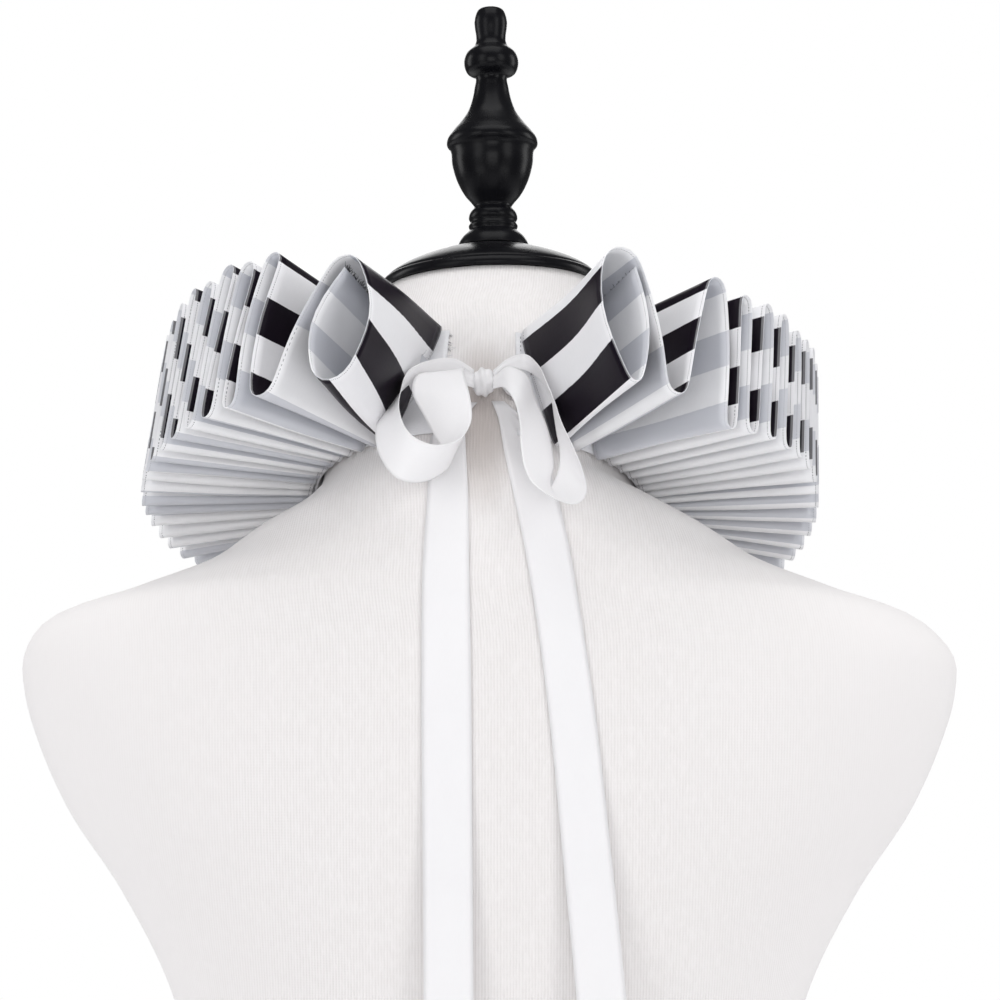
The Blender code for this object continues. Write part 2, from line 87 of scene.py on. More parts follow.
# The ribbon's legs from each raw end on: the lapped end, the flat panel at the opening, then down and
# up in turn. Some near the opening stand up to 5 mm from those of the solids.
Leg = namedtuple("Leg", "rim_foot rim_top root_foot root_top bow drop lift")
RIGHT_LEGS = [
    Leg(25.6, 23.4, 28.2, 19.8, 1.9, 17.0, 5.0),
    Leg(22.8, 17.6, 24.5, 14.0, -2.0, 8.5, 5.0),
    Leg(29.8, 24.6, 30.4, 22.0, 1.0, 8.5, 4.5),
    Leg(34.0, 37.4, 35.8, 35.8, -0.3, 8.3, 4.5),
    Leg(42.0, 41.6, 41.6, 41.6, 0.8, 8.3, -2.0),
    Leg(44.6, 45.2, 44.8, 44.8, 0.2, 9.2, -2.0),
    Leg(47.4, 48.2, 47.8, 47.8, 0.0, 9.2, 1.0),
    Leg(50.2, 51.6, 51.0, 51.0, 0.0, 6.1, 1.0),
    Leg(53.4, 54.6, 54.2, 54.2, 0.3, 6.1, 4.0),
    Leg(55.8, 57.2, 56.6, 56.6, 0.0, 4.3, 4.0),
    Leg(58.8, 60.2, 59.6, 59.6, 0.3, 4.3, 5.5),
    Leg(61.6, 63.0, 62.4, 62.4, 0.0, 5.0, 5.5),
    Leg(64.6, 66.0, 65.4, 65.4, 0.3, 5.0, 7.5),
    Leg(67.2, 68.4, 67.8, 67.8, 0.0, 2.5, 7.5),
    Leg(70.2, 71.2, 70.6, 70.6, 0.0, 2.5, 8.5),
    Leg(73.0, 73.8, 73.4, 73.4, 0.0, -0.6, 8.5),
    Leg(75.9, 76.5, 76.2, 76.2, 0.0, -0.6, 8.5),
]
LEFT_LEGS = [
    Leg(28.0, 23.9, 33.2, 18.8, 3.0, 21.6, 0.0),
    Leg(20.4, 21.0, 31.0, 16.5, -2.4, 14.6, 0.0),
    Leg(34.5, 27.4, 35.4, 21.0, 1.2, 14.6, 0.0),
    Leg(39.8, 36.6, 38.6, 38.6, 1.6, 4.2, 0.0),
    Leg(42.6, 40.6, 41.8, 41.8, 1.5, 4.2, 0.0),
    Leg(46.0, 42.4, 44.8, 44.8, 0.7, 3.2, 0.0),
    Leg(48.3, 46.8, 47.6, 47.6, 0.6, 3.2, 0.0),
    Leg(51.5, 47.8, 50.2, 50.2, 0.6, -0.5, 0.0),
    Leg(53.6, 52.0, 52.9, 52.9, 0.4, -0.5, 0.0),
    Leg(56.6, 53.9, 55.8, 55.8, 0.3, 1.1, 0.0),
    Leg(58.9, 57.8, 58.4, 58.4, 0.3, 1.1, 0.0),
    Leg(61.6, 60.2, 61.2, 61.2, 0.0, -2.1, 0.0),
    Leg(64.2, 63.2, 64.0, 64.0, 0.0, -2.1, 0.0),
    Leg(66.8, 66.2, 66.7, 66.7, 0.0, -2.2, 0.0),
    Leg(69.4, 69.2, 69.3, 69.3, 0.0, -2.2, 0.0),
]

# How far the middle of a leg stands out of its straight form, towards its bright side
Swell = namedtuple("Swell", "leg depth")
RIGHT_SWELLS = [Swell(0, 0.6), Swell(1, -3.2), Swell(2, 1.2), Swell(3, -1.4), Swell(4, 1.0)]
LEFT_SWELLS = [Swell(0, 0.8), Swell(1, 2.2), Swell(2, -1.0), Swell(3, 1.4), Swell(4, -0.8)]

# Where the bars fall by the openings: at a level on a leg's rim, so many bars have passed since the raw
# end. The bars are dark from each odd count on.
Mark = namedtuple("Mark", "leg level bars")
RIGHT_MARKS = [
    Mark(0, 22.3, 1.3), Mark(0, 11.3, 2.0), Mark(0, -4.4, 3.0), Mark(0, -20.1, 4.0),
    Mark(1, -28.9, 5.0), Mark(1, -13.0, 6.0), Mark(1, 2.8, 7.0), Mark(1, 18.6, 8.0),
    Mark(2, 27.0, 9.0), Mark(3, -22.8, 14.0), Mark(3, -7.1, 15.0), Mark(3, 8.6, 16.0),
    Mark(3, 22.5, 17.0), Mark(4, 24.0, 18.0), Mark(4, 8.0, 19.0), Mark(4, -8.0, 20.0),
    Mark(4, -24.5, 21.0), Mark(5, -23.4, 23.0), Mark(5, -6.0, 24.0), Mark(5, 11.7, 25.0),
    Mark(5, 27.0, 26.0), Mark(6, 22.0, 27.0), Mark(6, 4.5, 28.0), Mark(6, -12.0, 29.0),
    Mark(6, -27.0, 30.0),
]
LEFT_MARKS = [
    Mark(0, 17.7, 1.35), Mark(0, 8.0, 2.0), Mark(0, -5.5, 3.0), Mark(0, -18.0, 4.0),
    Mark(0, -36.0, 6.0), Mark(1, -24.5, 7.0), Mark(1, -8.4, 8.0), Mark(1, 7.1, 9.0),
    Mark(1, 23.0, 10.0), Mark(2, 12.5, 11.0), Mark(2, -4.0, 12.0), Mark(3, -20.0, 14.0),
    Mark(3, -3.7, 15.0), Mark(3, 12.7, 16.0), Mark(3, 27.7, 17.0), Mark(4, 30.5, 18.0),
    Mark(4, 14.5, 19.0), Mark(4, -0.5, 20.0), Mark(4, -15.5, 21.0), Mark(5, -18.8, 23.0),
    Mark(5, -3.8, 24.0), Mark(5, 13.0, 25.0), Mark(5, 28.9, 26.0), Mark(6, 31.0, 27.0),
    Mark(6, 15.6, 28.0), Mark(6, 0.5, 29.0), Mark(6, -15.0, 30.0), Mark(7, -18.0, 32.0),
    Mark(7, -2.6, 33.0), Mark(7, 15.6, 34.0), Mark(7, 31.7, 35.0), Mark(8, 34.6, 36.0),
    Mark(8, 18.0, 37.0), Mark(8, 3.0, 38.0),
]

# The neckband that the pleats are sewn to
NECK_GAP = 2.1
BAND_LIFT = 0.85
BAND_THICKNESS = 0.9
BAND_FROM = 12.5
BAND_TO = 346.0
BAND_TOP = 28.0
BAND_FOOT = -24.5
BAND_STEPS = 180
BAND_STITCHES = 22

# The dress form, in level or tipped sections from the base to the neck
Section = namedtuple("Section", "height sideways forward tilt half_width front back squareness")
TORSO = [
    Section(0, 0, 6, 0, 160, 94, 110, 2.2),
    Section(42, 0, 6, 0, 165, 97, 113, 2.2),
    Section(90, 0, 6, 0, 143, 91, 96, 2.15),
    Section(135, 0, 6, 0, 124, 86, 80, 2.1),
    Section(185, 0, 6, 0, 125, 97, 85, 2.1),
    Section(235, 0, 6, 0, 131, 112, 92, 2.15),
    Section(282, 0, 5, 0, 139, 121, 98, 2.2),
    Section(330, 0, 4, 0, 162, 118, 103, 2.25),
    Section(366, 0, 2, 2, 185.5, 112, 104, 2.3),
    Section(392, 0, 0, 4, 197, 107, 103, 2.3),
    Section(414, 0, -2, 6.5, 203.3, 103, 101, 2.25),
    Section(430, -0.5, -4, 9, 203.3, 99, 98, 2.2),
    Section(442, -2.5, -6, 12.5, 194, 95, 96, 2.15),
    Section(453.5, -2.5, -8, 14.3, 161, 90, 93, 2.1),
    Section(466, -2, -10, 17.3, 123, 84, 89, 2.05),
    Section(478, -3, -11, 20, 103, 78, 84, 2.0),
    Section(487.5, -4, -12, 22, 83, 74, 78, 2.0),
]
NECK_LEVELS = [-30.0, -8.0, 12.0, 32.0]
NECK_TOP = [
    Section(566, -3, 18.5, 21, 55, 55, 55, 2.0),
    Section(580, -1, 23.5, 15, 50.5, 50.5, 50.5, 2.0),
]
NECK_TOP_RADIUS = 47.0
UNDER_CAP = 0.35
FORM_SIDES = 144
FORM_RING_SPACING = 6.0

# The neck cap and the finial are turned pieces on tipped axes
CAP_CENTRE = np.array([0.3, 27.4, 594.6])
CAP_TILT = math.radians(9.5)
CAP_ROLL = math.radians(-1.6)
CAP_TURN = np.array(Matrix.Rotation(CAP_ROLL, 3, "Y") @ Matrix.Rotation(-CAP_TILT, 3, "X"))
FINIAL_ROLL = math.radians(-0.7)
FINIAL_TURN = np.array(Matrix.Rotation(FINIAL_ROLL, 3, "Y") @ Matrix.Rotation(-CAP_TILT, 3, "X"))
TURNED_SIDES = 96
TURNED_STEPS = 5
Ring = namedtuple("Ring", "radius height")
CAP_PROFILE = [
    Ring(49.0, 0), Ring(49.3, 1.2), Ring(49.0, 2.6), Ring(48.0, 4.0), Ring(47.0, 4.6), Ring(46.5, 5.3),
    Ring(44.0, 7.3), Ring(40.0, 9.6), Ring(34.0, 12.3), Ring(27.0, 14.8), Ring(21.6, 16.3), Ring(20.9, 16.2),
    Ring(20.2, 16.8), Ring(16.4, 17.7),
]
FINIAL_PROFILE = [
    Ring(16.2, 0), Ring(15.6, 2.0), Ring(14.0, 4.8), Ring(11.6, 7.2), Ring(10.6, 8.2),
    Ring(11.0, 10.2), Ring(10.2, 11.9), Ring(10.9, 13.7), Ring(10.5, 15.9), Ring(8.4, 19.4),
    Ring(9.3, 20.8), Ring(12.4, 24.6), Ring(15.9, 31.2), Ring(18.1, 38.8), Ring(19.2, 46.2),
    Ring(20.4, 47.8), Ring(20.3, 50.0), Ring(18.2, 53.4), Ring(14.6, 57.8), Ring(10.9, 63.2),
    Ring(8.9, 68.6), Ring(7.7, 74.4), Ring(7.3, 79.6), Ring(10.8, 81.6), Ring(12.3, 86.2),
    Ring(11.2, 90.4), Ring(7.4, 94.2), Ring(7.1, 107.6), Ring(5.6, 111.0), Ring(2.0, 112.3),
]
FINIAL_SEAT = np.array([1.4, 0.0, 18.45])

# The tie: one satin ribbon, knotted over the opening
TIE_THICKNESS = 0.35
KNOT = np.array([-2.5, -66.3, 549.5])
KNOT_SIZE = np.array([5.0, 4.4, 6.0])
KNOT_SIDES = 64
KNOT_ROWS = 40
KNOT_FOLD = 0.07
KNOT_CREASE = 0.03
KNOT_WAIST = 0.08
GATHER_DEPTH = 0.2
GATHER_REACH = 11.0
GATHERS_LEVEL_OFF = 40.0
CURL_DEPTH = 0.5
RUN_RIPPLE = 0.25
BACK_SLOPE = 0.70
Station = namedtuple("Station", "near_x near_z near_lift far_x far_z far_lift")
LEFT_LOOP = [
    Station(-3.8, 3.0, 3.5, -3.8, -2.5, 3.0),
    Station(-8.5, 4.5, 11.0, -27.5, 3.0, 9.5),
    Station(-6.0, -4.5, 16.0, -29.5, -5.0, 12.0),
    Station(-4.8, -12.0, 17.0, -24.5, -15.0, 11.0),
    Station(-5.5, -18.5, 18.0, -18.5, -26.0, 7.5),
    Station(-9.0, -24.0, 20.0, -13.5, -34.0, 4.5),
    Station(-18.0, -27.0, 22.0, -24.0, -42.0, 8.0),
    Station(-27.0, -24.5, 24.0, -36.0, -40.0, 15.0),
    Station(-32.0, -19.5, 26.0, -43.0, -30.0, 14.0),
    Station(-34.5, -12.0, 28.0, -44.0, -19.0, 14.0),
    Station(-34.0, -5.0, 27.0, -37.5, -8.5, 9.5),
    Station(-30.5, 5.0, 17.0, -29.5, 0.0, 3.5),
    Station(-21.0, 9.5, 9.5, -20.0, 2.0, 2.5),
    Station(-12.0, 10.0, 6.0, -12.0, 2.5, 1.5),
    Station(-4.0, 5.5, 2.5, -4.0, 1.0, 1.5),
]
RIGHT_LOOP = [
    Station(3.8, -3.0, 3.5, 3.8, 2.0, 3.0),
    Station(9.0, -3.0, 12.0, 11.0, 6.5, 9.0),
    Station(12.5, -8.0, 17.0, 17.5, 3.5, 9.0),
    Station(15.0, -17.0, 17.0, 21.5, -7.0, 3.5),
    Station(15.5, -28.0, 17.0, 26.5, -19.5, 4.5),
    Station(17.0, -36.5, 18.0, 28.5, -29.0, 4.0),
    Station(20.0, -42.5, 19.0, 29.0, -36.0, 4.0),
    Station(25.0, -46.5, 21.0, 27.5, -41.0, 5.0),
    Station(31.5, -50.0, 22.0, 27.5, -44.0, 6.0),
    Station(38.0, -51.0, 20.0, 30.0, -40.0, 6.0),
    Station(42.0, -46.5, 17.0, 31.5, -34.0, 5.0),
    Station(40.5, -37.0, 17.0, 31.5, -28.0, 3.0),
    Station(36.5, -27.0, 18.0, 30.5, -22.0, 2.0),
    Station(32.0, -17.0, 18.0, 29.5, -14.5, 0.5),
    Station(29.5, -9.0, 18.0, 28.5, -8.0, 0.0),
    Station(26.5, -1.0, 16.0, 25.5, -1.5, 0.0),
    Station(23.0, 7.0, 9.0, 21.5, 3.0, -1.0),
    Station(17.5, 12.0, 4.0, 16.0, 5.5, 1.0),
    Station(11.0, 10.5, 3.0, 10.0, 4.0, 1.5),
    Station(4.0, 5.0, 2.5, 4.0, 1.0, 1.5),
]
Run = namedtuple("Run", "angle level half_height lift")
LEFT_RUN = [
    Run(-13.6, 3.0, 9.5, 0.6), Run(-11.5, 2.0, 8.5, 1.0), Run(-8.5, 2.0, 6.0, 1.7), Run(-5.9, 2.4, 3.6, 2.6),
]
RIGHT_RUN = [
    Run(12.0, 4.0, 9.5, 0.6), Run(10.0, 3.0, 8.5, 1.0), Run(7.8, 2.6, 6.0, 1.7), Run(6.4, 2.6, 3.6, 2.6),
]
Drop = namedtuple("Drop", "across height half_width")
LEFT_TAIL = [
    Drop(-7.5, 541.0, 2.4), Drop(-14.0, 534.5, 3.8), Drop(-17.3, 526.0, 7.2), Drop(-17.2, 512.0, 8.0),
    Drop(-17.3, 498.0, 8.6), Drop(-17.8, 475.0, 9.5), Drop(-17.6, 425.0, 10.2), Drop(-17.0, 350.0, 10.2),
    Drop(-16.6, 280.0, 10.2), Drop(-16.4, 222.0, 10.2),
]
RIGHT_TAIL = [
    Drop(3.5, 541.5, 2.6), Drop(8.5, 535.0, 5.0), Drop(13.6, 522.0, 7.8), Drop(17.8, 507.0, 8.8),
    Drop(21.6, 491.0, 9.1), Drop(28.0, 455.0, 9.2), Drop(33.0, 420.0, 9.5), Drop(40.5, 350.0, 10.0),
    Drop(46.5, 290.0, 10.2), Drop(50.5, 245.0, 10.2),
]
TAIL_SLANT = 7.0
TAIL_CLEAR = 1.0


# Shader nodes as expressions


class Shade:
    """A socket of a finish. Arithmetic on it adds Math nodes."""

    def __init__(self, finish, socket):
        self.finish = finish
        self.socket = socket

    def math(self, operation, first, second=None):
        values = {0: first}
        if second is not None:
            values[1] = second
        return self.finish.node("ShaderNodeMath", {"operation": operation}, values)

    def __add__(self, other):
        return self.math("ADD", self, other)

    def __radd__(self, other):
        return self.math("ADD", other, self)

    def __sub__(self, other):
        return self.math("SUBTRACT", self, other)

    def __rsub__(self, other):
        return self.math("SUBTRACT", other, self)

    def __mul__(self, other):
        return self.math("MULTIPLY", self, other)

    def __rmul__(self, other):
        return self.math("MULTIPLY", other, self)

    def __truediv__(self, other):
        return self.math("DIVIDE", self, other)

    def __gt__(self, other):
        return self.math("GREATER_THAN", self, other)

    def __lt__(self, other):
        return self.math("LESS_THAN", self, other)

    def __abs__(self):
        return self.math("ABSOLUTE", self)

    def fraction(self):
        return self.math("FRACT", self)

    def wave(self):
        return self.math("SINE", self)

    def clamped(self):
        return self.finish.node("ShaderNodeClamp", {}, {"Value": self})


class Finish:
    """A material whose Principled shader is fed by expressions."""

    def __init__(self, name, colour, roughness, **sockets):
        self.material = bpy.data.materials.new(name)
        self.material.use_nodes = True
        self.tree = self.material.node_tree
        self.shader = self.tree.nodes["Principled BSDF"]
        self.shader.inputs["Base Color"].default_value = (*colour, 1.0)
        self.shader.inputs["Roughness"].default_value = roughness
        for socket, value in sockets.items():
            self.shader.inputs[socket.replace("_", " ")].default_value = value

    def feed(self, socket, value):
        if isinstance(value, Shade):
            self.tree.links.new(value.socket, socket)
        elif isinstance(value, tuple) and len(value) == 3 and socket.type == "RGBA":
            socket.default_value = (*value, 1.0)
        else:
            socket.default_value = value

    def node(self, kind, settings, sockets, output=0):
        """A node of a type, with its settings, then the values or links of its sockets."""
        made = self.tree.nodes.new(kind)
        for setting, value in settings.items():
            setattr(made, setting, value)
        for socket, value in sockets.items():
            self.feed(made.inputs[socket], value)
        return Shade(self, made.outputs[output])

    def mix(self, factor, first, second):
        """A colour between two, by a factor from 0 to 1."""
        return self.node(
            "ShaderNodeMix", {"data_type": "RGBA", "clamp_factor": True}, {0: factor, 6: first, 7: second}, 2
        )

    def along_and_across(self):
        """The cloth's own measures in metres: along the ribbon and across it."""
        place = self.node("ShaderNodeUVMap", {"uv_map": "cloth"}, {})
        parts = self.tree.nodes.new("ShaderNodeSeparateXYZ")
        self.feed(parts.inputs[0], place)
        return Shade(self, parts.outputs[0]), Shade(self, parts.outputs[1])

    def grain(self, along, across, detail=2.0):
        """Noise on the cloth, with so many cells a metre along it and across it."""
        place = self.node("ShaderNodeUVMap", {"uv_map": "cloth"}, {})
        cells = {0: place, 1: (along, across, 1)}
        stretched = self.node("ShaderNodeVectorMath", {"operation": "MULTIPLY"}, cells)
        return self.node("ShaderNodeTexNoise", {}, {"Vector": stretched, "Scale": 1.0, "Detail": detail})

    def colour(self, value):
        self.feed(self.shader.inputs["Base Color"], value)

    def roughness(self, value):
        self.feed(self.shader.inputs["Roughness"], value)

    def bump(self, height, distance, strength=1.0):
        """Raises the surface by height, from 0 to 1, times a distance in millimetres."""
        bumped = self.node(
            "ShaderNodeBump", {}, {"Strength": strength, "Distance": distance * MM, "Height": height}
        )
        self.feed(self.shader.inputs["Normal"], bumped)


# Finishes

SATIN_WHITE = (0.89, 0.885, 0.905)
SATIN_BLACK = (0.006, 0.003, 0.008)
SATIN_STITCH = (0.10, 0.10, 0.12)
BACK_WHITE = (0.90, 0.90, 0.915)
BACK_BLACK = (0.60, 0.61, 0.65)
BACK_STITCH = (0.05, 0.05, 0.06)
SELVAGE_WIDTH = 1.2
SELVAGE_CORD = (0.74, 0.74, 0.76)
BAR_SHARPNESS = 160.0
BAR_WOBBLE = 0.35
STITCH_LINE = 1.5
STITCH_LENGTH = 0.95
STITCH_HEIGHT = 0.36
LIGHT_THROUGH = 0.4


def striped_satin(name, white, black, stitch, specular):
    """Satin with crosswise bars. Its right side is bright and deep, and its back shows the bars in grey.

    Light passes a little way through it, and small dents break up its gloss.
    """
    finish = Finish(
        name, white, 0.36, Specular_IOR_Level=specular, Subsurface_Weight=0.6,
        Subsurface_Radius=(1.0, 1.0, 1.0), Subsurface_Scale=LIGHT_THROUGH * MM,
    )
    along, across = finish.along_and_across()
    wobble = (finish.grain(90, 260) - 0.5) * BAR_WOBBLE * MM
    bars = (along + wobble) / (2 * STRIPE_WIDTH * MM)
    from_dark = abs((bars + 0.75).fraction() - 0.5)
    dark = ((0.25 - from_dark) * BAR_SHARPNESS + 0.5).clamped()
    threads = finish.grain(260, 2600, 1.0)
    ribs = finish.grain(1400, 60, 1.0)
    cloud = finish.grain(45, 30, 3.0)
    dents = finish.grain(34, 9, 2.0)
    pale = finish.mix(cloud * 0.5 + threads * 0.5, white, tuple(0.90 * part for part in white))
    deep = finish.mix(cloud * 0.7 + threads * 0.4, black, tuple(part + 0.008 for part in black))
    bands = finish.mix(dark, pale, deep)
    inset = RIBBON_WIDTH * MM / 2 - abs(across - RIBBON_WIDTH * MM / 2)
    selvage = inset < SELVAGE_WIDTH * MM
    edged = finish.mix(selvage * 0.25, bands, SELVAGE_CORD)
    on_line = abs(inset - STITCH_LINE * MM) < STITCH_HEIGHT / 2 * MM
    pricked = (along / (STITCH_LENGTH * MM)).fraction() < 0.5
    finish.colour(finish.mix(on_line * pricked * (1 - dark * 0.7) * 0.85, edged, stitch))
    finish.roughness(0.22 + threads * 0.10 + cloud * 0.14)
    finish.bump(threads * 0.3 + ribs * 0.3 + selvage * 0.5 + cloud * 2.5 + dents * 9.0, 0.08, 0.6)
    return finish.material


CORD_WIDTH = 0.5


def tie_satin():
    """The tie's plain white satin ribbon, with a corded edge."""
    finish = Finish("tie_satin", (0.90, 0.89, 0.90), 0.42, Sheen_Weight=0.15, Sheen_Roughness=0.4)
    inset = finish.along_and_across()[1]
    threads = finish.grain(300, 3200, 1.0)
    cloud = finish.grain(40, 60, 3.0)
    cloth = finish.mix(cloud * 0.5 + threads * 0.35, (0.90, 0.89, 0.90), (0.82, 0.81, 0.82))
    # Painted shadow: a faint, thin, darker line just inside the raised cord
    cord_shadow_line = abs(inset - 1.5 * CORD_WIDTH * MM) < 0.5 * CORD_WIDTH * MM
    finish.colour(finish.mix(cord_shadow_line * 0.08, cloth, (0.62, 0.61, 0.62)))
    finish.roughness(0.38 + threads * 0.12)
    corded = inset < CORD_WIDTH * MM
    finish.bump(threads * 0.4 + corded * 0.15 + cloud * 1.5, 0.08, 0.5)
    return finish.material


def band_satin():
    """The neckband's closer white ribbon."""
    finish = Finish("band_satin", (0.86, 0.86, 0.88), 0.5, Sheen_Weight=0.1)
    threads = finish.grain(500, 2200, 1.0)
    finish.colour(finish.mix(threads, (0.88, 0.88, 0.90), (0.78, 0.78, 0.81)))
    finish.bump(threads, 0.06, 0.5)
    return finish.material


DARK_THREAD = (0.02, 0.018, 0.022)
PALE_THREAD = (0.82, 0.82, 0.84)


def plain_thread(name, colour):
    """Sewing thread, a little darker in places."""
    finish = Finish(name, colour, 0.6)
    uneven = finish.grain(900, 900, 1.0)
    finish.colour(finish.mix(uneven, colour, tuple(0.6 * part for part in colour)))
    return finish.material


RIB_PITCH = 1.3
COURSE_PITCH = 1.1
BACK_REACH = 95.0
# Where the painted shadow behind the neck sits, and how far it reaches
NAPE_SHADE_HEIGHT = 510.0
NAPE_SHADE_REACH = (17.0, 42.0)


def form_jersey():
    """Ribbed cotton jersey, a warm white, stretched over the form, with painted shade in its furrows and
    behind the neck.
    """
    finish = Finish("form_jersey", (0.86, 0.83, 0.82), 0.85, Sheen_Weight=0.2, Sheen_Roughness=0.6)
    along, across = finish.along_and_across()
    uneven = finish.grain(160, 22, 2.0)
    ribs = ((along + uneven * 0.45 * MM) * (2 * math.pi / (RIB_PITCH * MM))).wave() * 0.5 + 0.5
    courses = (across * (2 * math.pi / (COURSE_PITCH * MM))).wave() * 0.5 + 0.5
    flat_on = (1.75 - abs(along) / (BACK_REACH * MM)).clamped()
    cloud = finish.grain(9, 6, 3.0)
    ground = finish.mix(cloud, (0.885, 0.862, 0.858), (0.85, 0.822, 0.815))
    # Painted shade: the grooves between the ribs are darkened, more in some patches than in others
    furrow_patches = finish.grain(420, 170, 2.0)
    painted_furrow_shade = (1.0 - ribs * 0.88 - courses * 0.12) * (flat_on * 0.75 + 0.25) * (furrow_patches * 2.2 - 0.25).clamped()
    knitted = finish.mix(painted_furrow_shade * 0.50, ground, (0.70, 0.665, 0.65))
    # Painted shadow: a soft, warm, darker patch behind the neck, under the collar and the bow
    beside = along / (NAPE_SHADE_REACH[0] * MM)
    above = (across - NAPE_SHADE_HEIGHT * MM) / (NAPE_SHADE_REACH[1] * MM)
    painted_nape_shade = (1.0 - beside * beside - above * above).clamped()
    finish.colour(finish.mix(painted_nape_shade * 0.66, knitted, (0.42, 0.355, 0.32)))
    finish.bump((ribs * 0.8 + courses * 0.2) * flat_on, 0.2, 0.6)
    return finish.material


def black_lacquer():
    """Black lacquered wood: deep and glossy, with a little unevenness in the coat."""
    finish = Finish("black_lacquer", (0.004, 0.004, 0.005), 0.24, Specular_IOR_Level=0.14)
    place = finish.node("ShaderNodeTexCoord", {}, {}, 3)
    uneven = finish.node("ShaderNodeTexNoise", {}, {"Vector": place, "Scale": 90.0, "Detail": 4.0})
    finish.roughness(0.20 + uneven * 0.16)
    finish.colour(finish.mix(uneven, (0.003, 0.003, 0.004), (0.008, 0.008, 0.010)))
    finish.bump(uneven, 0.05, 0.3)
    return finish.material


# Mesh makers


def cloth_piece(name, points, faces, uvs, materials, face_materials=None):
    """A named mesh from points in millimetres, with a pair of millimetres in uvs for each face's corners."""
    mesh = bpy.data.meshes.new(name)
    mesh.from_pydata([Vector(point) * MM for point in points], [], faces)
    layer = mesh.uv_layers.new(name="cloth")
    layer.data.foreach_set("uv", (np.concatenate(uvs) * MM).ravel())
    for material in materials:
        mesh.materials.append(material)
    if face_materials is not None:
        mesh.polygons.foreach_set("material_index", face_materials)
    mesh.update()
    mesh.shade_smooth()
    piece = bpy.data.objects.new(name, mesh)
    bpy.context.collection.objects.link(piece)
    return piece


def normals_of(grid):
    normal = np.cross(np.gradient(grid, axis=0), np.gradient(grid, axis=1))
    return normal / np.maximum(np.linalg.norm(normal, axis=2, keepdims=True), 1e-9)


def thin_cloth(name, grid, along, across, thickness, right_side, wrong_side):
    """A thin two-sided cloth from rows of points along it, each running across, with its own measures."""
    rows, columns = grid.shape[:2]
    normal = normals_of(grid)
    points = np.concatenate([
        (grid + normal * thickness / 2).reshape(-1, 3), (grid - normal * thickness / 2).reshape(-1, 3)
    ])
    measure = np.zeros((rows, columns, 2))
    measure[:, :, 0] = np.asarray(along)[:, None]
    measure[:, :, 1] = across
    measure = measure.reshape(-1, 2)
    under = rows * columns
    row, column = np.meshgrid(np.arange(rows - 1), np.arange(columns - 1), indexing="ij")
    first = (row * columns + column).ravel()
    quads = np.stack([first, first + columns, first + columns + 1, first + 1], axis=1)
    sides = []
    for column in (0, columns - 1):
        line = np.arange(rows - 1) * columns + column
        pair = np.stack([line, line + columns], axis=1)
        pair = pair[:, ::-1] if column == 0 else pair
        sides.append(np.stack([pair[:, 0], pair[:, 1], pair[:, 1] + under, pair[:, 0] + under], axis=1))
    for row in (0, rows - 1):
        line = row * columns + np.arange(columns - 1)
        pair = np.stack([line, line + 1], axis=1)
        pair = pair[:, ::-1] if row != 0 else pair
        sides.append(np.stack([pair[:, 0], pair[:, 1], pair[:, 1] + under, pair[:, 0] + under], axis=1))
    faces = np.concatenate([quads, quads[:, ::-1] + under] + sides)
    uvs = measure[faces.ravel() % under]
    kinds = np.zeros(len(faces), int)
    kinds[len(quads):2 * len(quads)] = 1
    return cloth_piece(
        name, points, faces.tolist(), [uvs], [right_side, wrong_side], kinds.astype(np.int32)
    )


def smooth_rows(rows, spacing=None, steps=None):
    """Rows of numbers with a smooth curve's rows put in between, by a spacing or a number of steps."""
    rows = np.array(rows, float)
    flat = rows.reshape(len(rows), -1)
    gaps = np.linalg.norm(np.diff(flat, axis=0), axis=1) / math.sqrt(flat.shape[1] / 3)
    places = np.concatenate([[0.0], np.cumsum(gaps)])
    slopes = np.gradient(flat, places, axis=0)
    smooth = []
    for index, gap in enumerate(gaps):
        count = steps or max(1, math.ceil(gap / spacing))
        start, stop = flat[index], flat[index + 1]
        for step in range(count):
            part = step / count
            rest = 1 - part
            smooth.append(
                start * rest * rest * (1 + 2 * part) + slopes[index] * gap * part * rest * rest
                + stop * part * part * (3 - 2 * part) - slopes[index + 1] * gap * part * part * rest
            )
    smooth.append(flat[-1])
    return np.array(smooth).reshape(-1, *rows.shape[1:])


def lengths_along(line):
    """The distance from the start at each point of a line."""
    return np.concatenate([[0.0], np.cumsum(np.linalg.norm(np.diff(line, axis=0), axis=1))])


# The collar's frame


def on_ring(angle, radius, level):
    """A point at an angle in degrees from the middle of the back, a radius and a level on the axis."""
    turn = math.radians(angle)
    return RING_CENTRE + RING_TURN @ np.array([radius * math.sin(turn), -radius * math.cos(turn), level])


def root_radius(level):
    return ROOT_RADIUS - ROOT_CONE * level


def root_point(angle, level):
    return on_ring(angle, root_radius(level), level)


def rim_point(angle, level):
    """The rim is drawn in a little at the sides, and it is shifted to the right, more so at its top."""
    radius = RIM_RADIUS - RIM_CONE * level - RIM_DRAWN_IN * math.sin(math.radians(angle)) ** 2
    return on_ring(angle, radius, level) + RING_TURN @ np.array([RIM_SHIFT + RIM_LEAN * level, 0.0, 0.0])


def frontness(angle):
    """0 at the middle of the back and 1 at the middle of the front."""
    return (1 - math.cos(math.radians(angle))) / 2


def rim_reach(angle):
    """The levels of the rim's top and foot."""
    return RIM_TOP - RIM_TOP_FALL * frontness(angle), RIM_FOOT + RIM_FOOT_RISE * frontness(angle)


# The pleated ribbon


def mirrored(leg):
    """A left leg's angles, counted on round the ring."""
    angles = (360 - angle for angle in leg[:4])
    return Leg(*angles, -leg.bow, leg.drop, leg.lift)


